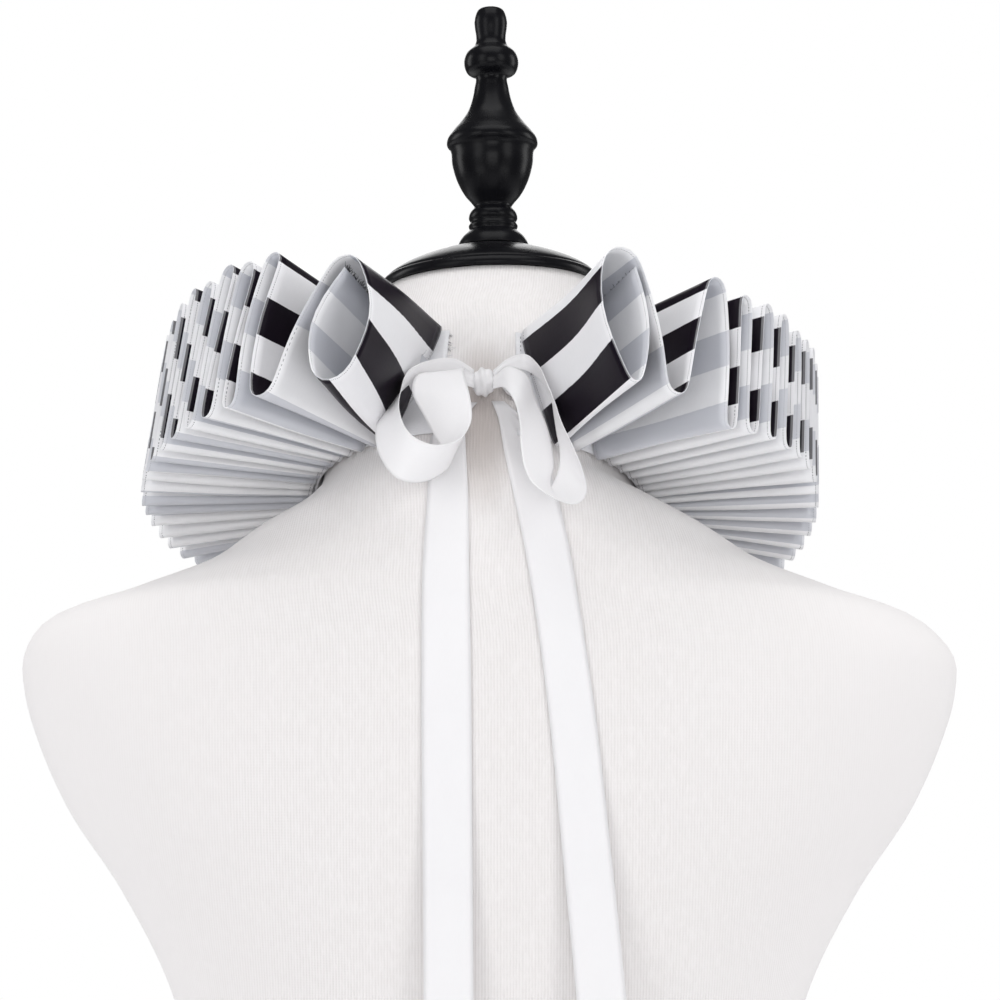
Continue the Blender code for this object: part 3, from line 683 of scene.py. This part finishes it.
def all_legs():
    """Every leg of the ribbon in order, from the right raw end round the front to the left one.

    The plain folds between the two tables lie as unevenly as hand-sewn ones do.
    """
    left = [mirrored(leg) for leg in reversed(LEFT_LEGS)]
    start = RIGHT_LEGS[-1]
    first, last = start.rim_top, left[0].rim_top
    count = 2 * PLAIN_FOLDS
    random = np.random.default_rng(58)
    shifts = random.uniform(-0.4, 0.4, count)
    root_shifts = random.uniform(-0.3, 0.3, count)
    drops = random.uniform(-0.6, 1.4, count)
    plain = []
    for index in range(count):
        angle = first + (last - first) * (index + 1) / (count + 1)
        fold = (index + 1) // 2
        lift = start.lift * max(0.0, 1 - fold * 2 / LIFT_FADE_LEGS) + drops[-fold]
        rim = angle + shifts[index]
        root = angle + root_shifts[index]
        plain.append(Leg(rim, rim + shifts[-index], root, root, shifts[-index], drops[index // 2], lift))
    plain[-1] = plain[-1]._replace(lift=0.0)
    return RIGHT_LEGS + plain + left


def root_edge(legs):
    """The sewn edge's legs as (foot angle, foot level, top angle, top level, bow)."""
    tops = [ROOT_TOP] * len(legs)
    tops[0] -= legs[0].drop
    tops[-1] -= legs[-1].drop
    return [(leg.root_foot, ROOT_FOOT, leg.root_top, top, 0.0) for leg, top in zip(legs, tops)]


def rim_edge(legs):
    """The free edge's legs as (foot angle, foot level, top angle, top level, bow)."""
    edge = []
    for leg in legs:
        top, foot = rim_reach(leg.rim_foot)
        edge.append((leg.rim_foot, foot + leg.lift, leg.rim_top, top - leg.drop, leg.bow))
    return edge


def pleat_line(edge, radius):
    """One edge of the ribbon as (angle, level) pairs: down and up its legs, and round the turns between."""
    last = len(edge) - 1

    def rise(a, b):
        return min(math.radians(abs(a - b)) / 2 * radius, WIDE_TURN_RISE)

    line = []
    for index, (foot_angle, foot, top_angle, top, bow) in enumerate(edge):
        falling = index % 2 == 0
        below = edge[index + 1] if falling and index < last else edge[index - 1]
        above = edge[index - 1] if falling else edge[min(index + 1, last)]
        low = foot + rise(foot_angle, below[0])
        high = top - (0.0 if index in (0, last) else rise(top_angle, above[2]))
        ends = [(top_angle, high), (foot_angle, low)]
        (from_angle, from_level), (to_angle, to_level) = ends if falling else ends[::-1]
        for step in range(LEG_STEPS):
            part = step / LEG_STEPS
            angle = from_angle + (to_angle - from_angle) * part + bow * math.sin(math.pi * part)
            line.append((angle, from_level + (to_level - from_level) * part))
        if index == last:
            line.append((to_angle, to_level))
            break
        next_angle = edge[index + 1][0] if falling else edge[index + 1][2]
        crown = -rise(to_angle, next_angle) if falling else rise(to_angle, next_angle)
        for step in range(TURN_STEPS):
            part = math.pi * step / TURN_STEPS
            angle = (to_angle + next_angle) / 2 + (to_angle - next_angle) / 2 * math.cos(part)
            line.append((angle, to_level + crown * math.sin(part)))
    return line


def rubbed_round(line, passes=3):
    """The line with its corners rubbed round."""
    line = np.array(line, float)
    for _ in range(passes):
        line[1:-1] = (line[:-2] + 2 * line[1:-1] + line[2:]) / 4
    return line


def mark_rows(marks, levels):
    """Where each mark falls among the ribbon's rows, counted from the raw end that the levels start at."""
    a_leg = LEG_STEPS + TURN_STEPS
    rows = []
    for mark in marks:
        first = max(0, mark.leg * a_leg - TURN_STEPS // 2)
        on_leg = np.arange(first, mark.leg * a_leg + LEG_STEPS + TURN_STEPS // 2 + 1)
        order = np.argsort(levels[on_leg])
        rows.append(np.interp(mark.level, levels[on_leg][order], on_leg[order]))
    return np.array(rows)


def bar_count(levels, lengths):
    """How many bars have passed at each row. The plain folds between the marks carry even bars."""
    last = len(levels) - 1
    right = mark_rows(RIGHT_MARKS, levels)
    left = last - mark_rows(LEFT_MARKS, levels[::-1])[::-1]
    right_bars = np.array([mark.bars for mark in RIGHT_MARKS])
    left_bars = np.array([-mark.bars for mark in reversed(LEFT_MARKS)])
    rows = np.arange(last + 1)
    run = np.interp(left[0], rows, lengths) - np.interp(right[-1], rows, lengths)
    total = right_bars[-1] - left_bars[0] + run / STRIPE_WIDTH
    total = 2 * round((total - 1) / 2) + 1
    between = np.linspace(right[-1], left[0], BETWEEN_MARKS)[1:-1]
    passed = np.interp(between, rows, lengths) - np.interp(right[-1], rows, lengths)
    between_bars = right_bars[-1] + passed / run * (total + left_bars[0] - right_bars[-1])
    places = np.concatenate([right, between, left])
    return np.interp(rows, places, np.concatenate([right_bars, between_bars, total + left_bars]))


def swells(rows):
    """How far each row's middle stands out of its straight form: by the tables, and unevenly between."""
    a_leg = LEG_STEPS + TURN_STEPS
    legs = (rows + TURN_STEPS - 1) // a_leg
    random = np.random.default_rng(7)
    depths = random.uniform(-0.7, 0.7, legs + 1)
    for swell in RIGHT_SWELLS:
        depths[swell.leg] = swell.depth
    for swell in LEFT_SWELLS:
        depths[legs - 1 - swell.leg] = swell.depth
    middles = np.arange(legs) * a_leg + LEG_STEPS / 2
    return np.interp(np.arange(rows), middles, depths[:legs])


def ruff_ribbon(right_side, wrong_side):
    legs = all_legs()
    root = rubbed_round(pleat_line(root_edge(legs), ROOT_RADIUS))
    rim = rubbed_round(pleat_line(rim_edge(legs), RIM_RADIUS))
    inner = np.array([root_point(angle, level) for angle, level in root])
    outer = np.array([rim_point(angle, level) for angle, level in rim])
    parts = np.linspace(0.0, 1.0, ACROSS_STEPS + 1)
    grid = inner[:, None] + (outer - inner)[:, None] * parts[None, :, None]
    stand = swells(len(grid))[:, None] * np.sin(math.pi * parts) ** 1.5
    grid -= normals_of(grid) * stand[:, :, None]
    lengths = lengths_along(inner * 0.3 + outer * 0.7)
    along = bar_count(rim[:, 1], lengths) * STRIPE_WIDTH
    piece = thin_cloth(
        "ruff_pleats", grid, along, parts * RIBBON_WIDTH, RIBBON_THICKNESS, wrong_side, right_side
    )
    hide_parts("ruff_ribbon")
    return piece, grid


def thread_piece(name, threads, material):
    """Loose threads or stitches: each is a line of points, drawn as a thin three-sided strand."""
    points, faces, uvs = [], [], []
    for line in threads:
        line = np.asarray(line, float)
        count = len(line)
        first = len(points)
        heading = line[-1] - line[0]
        side = np.cross(heading, (0.0, 1.0, 0.2))
        side /= max(np.linalg.norm(side), 1e-6)
        rise = np.cross(side, heading)
        rise /= max(np.linalg.norm(rise), 1e-6)
        for index, point in enumerate(line):
            thick = THREAD_THICKNESS * (1.0 - 0.5 * index / (count - 1))
            for corner in range(3):
                turn = 2 * math.pi * corner / 3
                points.append(point + (side * math.cos(turn) + rise * math.sin(turn)) * thick / 2)
        for index in range(count - 1):
            for corner in range(3):
                a = first + index * 3 + corner
                b = first + index * 3 + (corner + 1) % 3
                faces.append([a, b, b + 3, a + 3])
                uvs.append([(0, index), (1, index), (1, index + 1), (0, index + 1)])
        last = first + (count - 1) * 3
        for end in ([first, first + 2, first + 1], [last, last + 1, last + 2]):
            faces.append(end)
            uvs.append([(0, 0), (1, 0), (1, 1)])
    flat = [np.array([pair for corners in uvs for pair in corners], float)]
    piece = cloth_piece(name, points, faces, flat, [material])
    return piece


def frayed_end(edge, inwards, seed, count, reach):
    """Threads that have come loose along a raw edge, short and crooked."""
    random = np.random.default_rng(seed)
    threads = []
    for _ in range(count):
        place = random.uniform(0.0, len(edge) - 1.001)
        index = int(place)
        start = edge[index] + (edge[index + 1] - edge[index]) * (place - index)
        out = -inwards + random.uniform(-0.7, 0.7, 3)
        out /= np.linalg.norm(out)
        curl = random.uniform(-0.5, 0.5, 3)
        length = random.uniform(0.3, 1.0) * reach
        steps = np.linspace(-0.15, 1.0, 5)
        threads.append([start + out * length * step + curl * length * step * step for step in steps])
    return threads


# The form


def tipped_ring(centre, turn, half_width, front, back, squareness, sides=FORM_SIDES):
    """A closed ring of points from the middle of the front, squarer than an ellipse over squareness 2."""
    ring = []
    for side in range(sides):
        angle = math.pi / 2 + 2 * math.pi * side / sides
        across, along = math.cos(angle), math.sin(angle)
        power = 2 / squareness
        x = half_width * math.copysign(abs(across) ** power, across)
        y = (front if along > 0 else back) * math.copysign(abs(along) ** power, along)
        ring.append(centre + turn @ np.array([x, y, 0.0]))
    return ring


def round_ring(centre, turn, radius, sides=FORM_SIDES):
    return tipped_ring(centre, turn, radius, radius, radius, 2.0, sides)


def section_ring(section):
    turn = np.array(Matrix.Rotation(-math.radians(section.tilt), 3, "X"))
    centre = np.array([section.sideways, section.forward, section.height], float)
    return tipped_ring(centre, turn, section.half_width, section.front, section.back, section.squareness)


def neck_ring(level):
    radius = root_radius(level) - NECK_GAP
    centre = RING_CENTRE + RING_TURN @ np.array([0, 0, level])
    return round_ring(centre, RING_TURN, radius)


def lofted(name, rings, material):
    """A closed body through rings of points, with its measures round from the middle of the back and up."""
    rings = np.array(rings)
    levels, sides = rings.shape[:2]
    points = rings.reshape(-1, 3)
    closed = np.concatenate([rings, rings[:, :1]], axis=1)
    steps = np.linalg.norm(np.diff(closed, axis=1), axis=2)
    round_it = np.concatenate([np.zeros((levels, 1)), np.cumsum(steps, axis=1)], axis=1)
    round_it = round_it - round_it[:, sides // 2][:, None]
    up = lengths_along(rings.mean(axis=1))
    faces = []
    uvs = []
    for level in range(levels - 1):
        for side in range(sides):
            corners = [(level, side), (level, side + 1), (level + 1, side + 1), (level + 1, side)]
            faces.append([row * sides + place % sides for row, place in corners])
            uvs.append([(round_it[row, place], up[row]) for row, place in corners])
    uvs = [np.array(uvs).reshape(-1, 2)]
    for level, order in ((0, -1), (levels - 1, 1)):
        faces.append([level * sides + side for side in range(sides)][::order])
        uvs.append(points[faces[-1]][:, :2])
    return cloth_piece(name, points, faces, uvs, [material])


def form_body(material):
    rings = [section_ring(section) for section in TORSO]
    rings += [neck_ring(level) for level in NECK_LEVELS]
    rings += [section_ring(section) for section in NECK_TOP]
    under_cap = CAP_CENTRE - CAP_TURN @ np.array([0, 0, UNDER_CAP])
    rings.append(round_ring(under_cap, CAP_TURN, NECK_TOP_RADIUS))
    piece = lofted("form_cover", smooth_rows(rings, spacing=FORM_RING_SPACING), material)
    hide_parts("form_body")
    return piece


def turned(name, profile, centre, turn, material, replaced):
    """A piece turned from a profile of rings about its tipped axis."""
    profile = smooth_rows([(ring.radius, ring.height, 0.0) for ring in profile], steps=TURNED_STEPS)
    rings = [
        round_ring(centre + turn @ np.array([0, 0, height]), turn, radius, TURNED_SIDES)
        for radius, height, _ in profile
    ]
    piece = lofted(name, rings, material)
    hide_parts(replaced)
    return piece


# The neckband and the tie


def neckband(material):
    levels = np.linspace(BAND_FOOT, BAND_TOP, 7)
    grid = []
    for step in range(BAND_STEPS + 1):
        angle = BAND_FROM + (BAND_TO - BAND_FROM) * step / BAND_STEPS
        grid.append([on_ring(angle, root_radius(level) - NECK_GAP + BAND_LIFT, level) for level in levels])
    grid = np.array(grid)
    along = lengths_along(grid[:, 3])
    piece = thin_cloth("neck_ribbon", grid, along, levels - BAND_FOOT, BAND_THICKNESS, material, material)
    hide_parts("neckband")
    return piece, grid


def tie_ribbon(name, grid, material, replaced):
    """One stretch of the tie, measured along and in from its nearest edge."""
    grid = np.asarray(grid)
    along = lengths_along(grid[:, grid.shape[1] // 2])
    width = np.linalg.norm(np.diff(grid, axis=1), axis=2).sum(axis=1)
    inset = (0.5 - abs(np.linspace(-0.5, 0.5, grid.shape[1])))[None, :] * width[:, None]
    piece = thin_cloth(name, grid, along, inset, TIE_THICKNESS, material, material)
    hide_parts(replaced)
    return piece


def tie_run(name, runs, material):
    """The tie from the band's end to the knot, rippled where it narrows."""
    grid = []
    for angle, level, half_height, lift in smooth_rows(runs, steps=6):
        row = []
        for part in np.linspace(-1.0, 1.0, 9):
            here = level + part * half_height
            ripple = RUN_RIPPLE * math.cos(3 * math.pi * part) * (1 - half_height / 10)
            row.append(on_ring(angle, root_radius(here) - NECK_GAP + BAND_LIFT + lift + ripple, here))
        grid.append(row)
    return tie_ribbon(name, grid, material, name.replace("_ribbon", ""))


def slope_point(x, z, lift):
    """A point placed from the knot, lifted off the slope of the back."""
    return KNOT + np.array([x, BACK_SLOPE * z - lift, z])


def bow_loop(name, stations, material, replaced):
    """A loop between its two edges, gathered near the knot and curling a little along its length."""
    grid = []
    parts = np.linspace(0.0, 1.0, 17)
    for near_x, near_z, near_lift, far_x, far_z, far_lift in smooth_rows(stations, steps=7):
        near = slope_point(near_x, near_z, near_lift)
        far = slope_point(far_x, far_z, far_lift)
        grid.append([near + (far - near) * part for part in parts])
    grid = np.array(grid)
    from_knot = np.minimum(np.linalg.norm(grid[:, len(parts) // 2] - KNOT, axis=1), GATHERS_LEVEL_OFF)
    gathers = GATHER_DEPTH * np.exp(-from_knot / GATHER_REACH)[:, None] * np.cos(5.0 * math.pi * parts)
    curl = CURL_DEPTH * np.sin(math.pi * parts) * np.sin(np.linspace(0.0, 7.0, len(grid)))[:, None]
    grid += normals_of(grid) * (gathers + curl)[:, :, None]
    return tie_ribbon(name, grid, material, replaced)


def surface_of(piece):
    return BVHTree.FromPolygons(
        [vertex.co for vertex in piece.data.vertices], [list(face.vertices) for face in piece.data.polygons]
    )


def tail(name, drops, surfaces, material, replaced):
    """A tail lying on the form's back, then hanging straight from where the back stands out most."""
    stations = smooth_rows(drops, spacing=5.0)
    grid = []
    furthest = None
    parts = np.linspace(-1.0, 1.0, 9)
    for index, (across, height, half_width) in enumerate(stations):
        row = []
        for part in parts:
            slant = TAIL_SLANT * part if index == len(stations) - 1 else 0.0
            x = across + part * half_width
            start = Vector((x * MM, -1.0, height * MM))
            hits = [surface.ray_cast(start, Vector((0, 1, 0)))[0] for surface in surfaces]
            nearest = min(hit.y for hit in hits if hit)
            row.append([x, nearest / MM - TAIL_CLEAR, height - slant])
        if furthest is not None:
            row = [[x, min(y, past), z] for (x, y, z), past in zip(row, furthest)]
        furthest = [point[1] for point in row]
        grid.append(row)
    return tie_ribbon(name, grid, material, replaced)


def knot(material):
    """The knot: the ribbon pulled tight once round the others, in soft folds that run down over it."""
    rings = []
    for row in range(KNOT_ROWS + 1):
        polar = math.pi * (row + 0.5) / (KNOT_ROWS + 1)
        ring = []
        for side in range(KNOT_SIDES):
            turn = 2 * math.pi * side / KNOT_SIDES
            wide = math.sin(polar)
            place = np.array([math.cos(polar), wide * math.cos(turn), wide * math.sin(turn)])
            folds = KNOT_FOLD * math.cos(9.0 * place[0] + 1.8 * place[2])
            folds += KNOT_CREASE * math.cos(5 * turn + 4.0 * place[0])
            waist = KNOT_WAIST * place[0] * place[2]
            ring.append(KNOT + KNOT_SIZE * place * (1.0 + (folds + waist) * wide))
        rings.append(ring)
    piece = lofted("tie_knot", rings, material)
    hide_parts("bow_knot")
    return piece


# The sewing


def towards(start, end):
    step = end - start
    return step / np.linalg.norm(step)


def sewing(ruff_grid, band_grid, dark_thread, pale_thread):
    """The frayed raw ends and the stitches that show at the opening."""
    right_end, left_end = ruff_grid[0], ruff_grid[-1]
    into_right = towards(right_end.mean(axis=0), ruff_grid[1].mean(axis=0))
    into_left = towards(left_end.mean(axis=0), ruff_grid[-2].mean(axis=0))
    into_band = towards(band_grid[-1, 3], band_grid[-2, 3])
    dark = frayed_end(left_end[8:], into_left, seed=3, count=130, reach=2.4)
    dark += frayed_end(right_end, into_right, seed=4, count=26, reach=1.6)
    dark += frayed_end(band_grid[-1], into_band, seed=5, count=36, reach=2.4)
    dark += band_stitches(band_grid[1], band_grid[2])
    pale = frayed_end(left_end, into_left, seed=6, count=24, reach=2.8)
    pale += frayed_end(band_grid[-1], into_band, seed=8, count=40, reach=3.4)
    return [
        thread_piece("dark_threads", dark, dark_thread),
        thread_piece("pale_threads", pale, pale_thread),
    ]


def band_stitches(edge, beside):
    """Short straight stitches up the right end of the band, lying on it."""
    up = edge[-1] - edge[0]
    out = np.cross(up, beside[0] - edge[0])
    out /= np.linalg.norm(out)
    out *= -1.0 if out[1] > 0 else 1.0
    stitches = []
    for place in np.linspace(0.06, 0.94, BAND_STITCHES):
        start = edge[0] + up * place + out * (BAND_THICKNESS / 2 + THREAD_THICKNESS / 2)
        stitches.append([start, start + up * (0.45 / BAND_STITCHES)])
    return stitches


# The studio

WALLS_FILL = 0.40
WALLS_MIRRORED = 0.10
FLOOR_RADIUS = 1.6
FLOOR_SIDES = 96
LIT_POINT = (0.0, 0.0, 0.5)
Softbox = namedtuple("Softbox", "place width height power")
SOFTBOXES = [
    Softbox((-1.5, -1.7, 1.25), 0.9, 1.5, 9.3),
    Softbox((1.6, -1.6, 1.35), 0.9, 1.5, 9.8),
    Softbox((0.0, -0.3, 2.1), 1.6, 1.2, 12.0),
    Softbox((0.0, -2.5, 0.80), 1.3, 0.9, 10.0),
    Softbox((0.0, 2.2, 1.30), 1.4, 1.2, 10.0),
    Softbox((-1.1, -1.4, 0.16), 0.9, 0.28, 1.8),
    Softbox((1.1, -1.4, 0.16), 0.9, 0.28, 1.8),
    Softbox((-1.9, 0.6, 0.9), 0.7, 1.4, 9.0),
    Softbox((1.9, 0.6, 0.9), 0.7, 1.4, 9.0),
]


def studio():
    camera = bpy.data.cameras.new("photo_view")
    camera.sensor_width = CAMERA_SENSOR
    camera.lens = CAMERA_SENSOR / (2 * math.tan(CAMERA_HALF_VIEW))
    camera.clip_end = 20.0
    stand = bpy.data.objects.new("photo_view", camera)
    stand.location = CAMERA_PLACE
    stand.rotation_euler = (math.radians(90.0), 0.0, 0.0)
    bpy.context.collection.objects.link(stand)
    bpy.context.scene.camera = stand

    mesh = bpy.data.meshes.new("floor")
    turns = np.linspace(0, 2 * math.pi, FLOOR_SIDES, endpoint=False)
    corners = [(FLOOR_RADIUS * math.cos(turn), FLOOR_RADIUS * math.sin(turn), -0.0005) for turn in turns]
    mesh.from_pydata(corners, [], [list(range(FLOOR_SIDES))])
    mesh.materials.append(Finish("pale_floor", (0.86, 0.86, 0.87), 0.7).material)
    floor = bpy.data.objects.new("floor", mesh)
    bpy.context.collection.objects.link(floor)

    for number, box in enumerate(SOFTBOXES):
        light = bpy.data.lights.new(f"softbox_{number}", "AREA")
        light.shape = "RECTANGLE"
        light.size = box.width
        light.size_y = box.height
        light.energy = box.power
        lamp = bpy.data.objects.new(light.name, light)
        lamp.location = box.place
        aim = Vector(LIT_POINT) - Vector(box.place)
        lamp.rotation_euler = aim.to_track_quat("-Z", "Y").to_euler()
        bpy.context.collection.objects.link(lamp)

    world = bpy.data.worlds.new("studio")
    bpy.context.scene.world = world
    world.use_nodes = True
    nodes, links = world.node_tree.nodes, world.node_tree.links
    # The walls look white, and the gloss mirrors little of them
    seen = nodes.new("ShaderNodeLightPath")
    lit = nodes["Background"].outputs[0]
    nodes["Background"].inputs["Color"].default_value = (0.97, 0.98, 1.0, 1.0)
    nodes["Background"].inputs["Strength"].default_value = WALLS_FILL
    for ray, strength in (("Is Glossy Ray", WALLS_MIRRORED), ("Is Camera Ray", 1.0)):
        wall = nodes.new("ShaderNodeBackground")
        wall.inputs["Color"].default_value = (1.0, 1.0, 1.0, 1.0)
        wall.inputs["Strength"].default_value = strength
        either = nodes.new("ShaderNodeMixShader")
        links.new(seen.outputs[ray], either.inputs[0])
        links.new(lit, either.inputs[1])
        links.new(wall.outputs[0], either.inputs[2])
        lit = either.outputs[0]
    links.new(lit, nodes["World Output"].inputs["Surface"])
    bpy.context.scene.view_settings.view_transform = "Standard"


# The whole


def dress():
    satin_right = striped_satin("satin_right_side", SATIN_WHITE, SATIN_BLACK, SATIN_STITCH, specular=0.05)
    satin_wrong = striped_satin("satin_wrong_side", BACK_WHITE, BACK_BLACK, BACK_STITCH, specular=0.9)
    tie = tie_satin()
    lacquer = black_lacquer()
    cover = form_body(form_jersey())
    band, band_grid = neckband(band_satin())
    ruff, ruff_grid = ruff_ribbon(satin_right, satin_wrong)
    pieces = [cover, band, ruff]
    dark_thread = plain_thread("dark_thread", DARK_THREAD)
    pale_thread = plain_thread("pale_thread", PALE_THREAD)
    pieces += sewing(ruff_grid, band_grid, dark_thread, pale_thread)
    surfaces = [surface_of(cover), surface_of(band)]
    pieces.append(knot(tie))
    pieces.append(tie_run("tie_left_ribbon", LEFT_RUN, tie))
    pieces.append(tie_run("tie_right_ribbon", RIGHT_RUN, tie))
    pieces.append(bow_loop("bow_left", LEFT_LOOP, tie, "bow_loop_left"))
    pieces.append(bow_loop("bow_right", RIGHT_LOOP, tie, "bow_loop_right"))
    pieces.append(tail("hanging_tail_left", LEFT_TAIL, surfaces, tie, "tail_left"))
    pieces.append(tail("hanging_tail_right", RIGHT_TAIL, surfaces, tie, "tail_right"))
    pieces.append(turned("turned_cap", CAP_PROFILE, CAP_CENTRE, CAP_TURN, lacquer, "neck_cap"))
    finial_foot = CAP_CENTRE + FINIAL_TURN @ FINIAL_SEAT
    pieces.append(turned("turned_finial", FINIAL_PROFILE, finial_foot, FINIAL_TURN, lacquer, "finial"))
    for piece in pieces:
        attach(piece, "root")


studio()
dress()
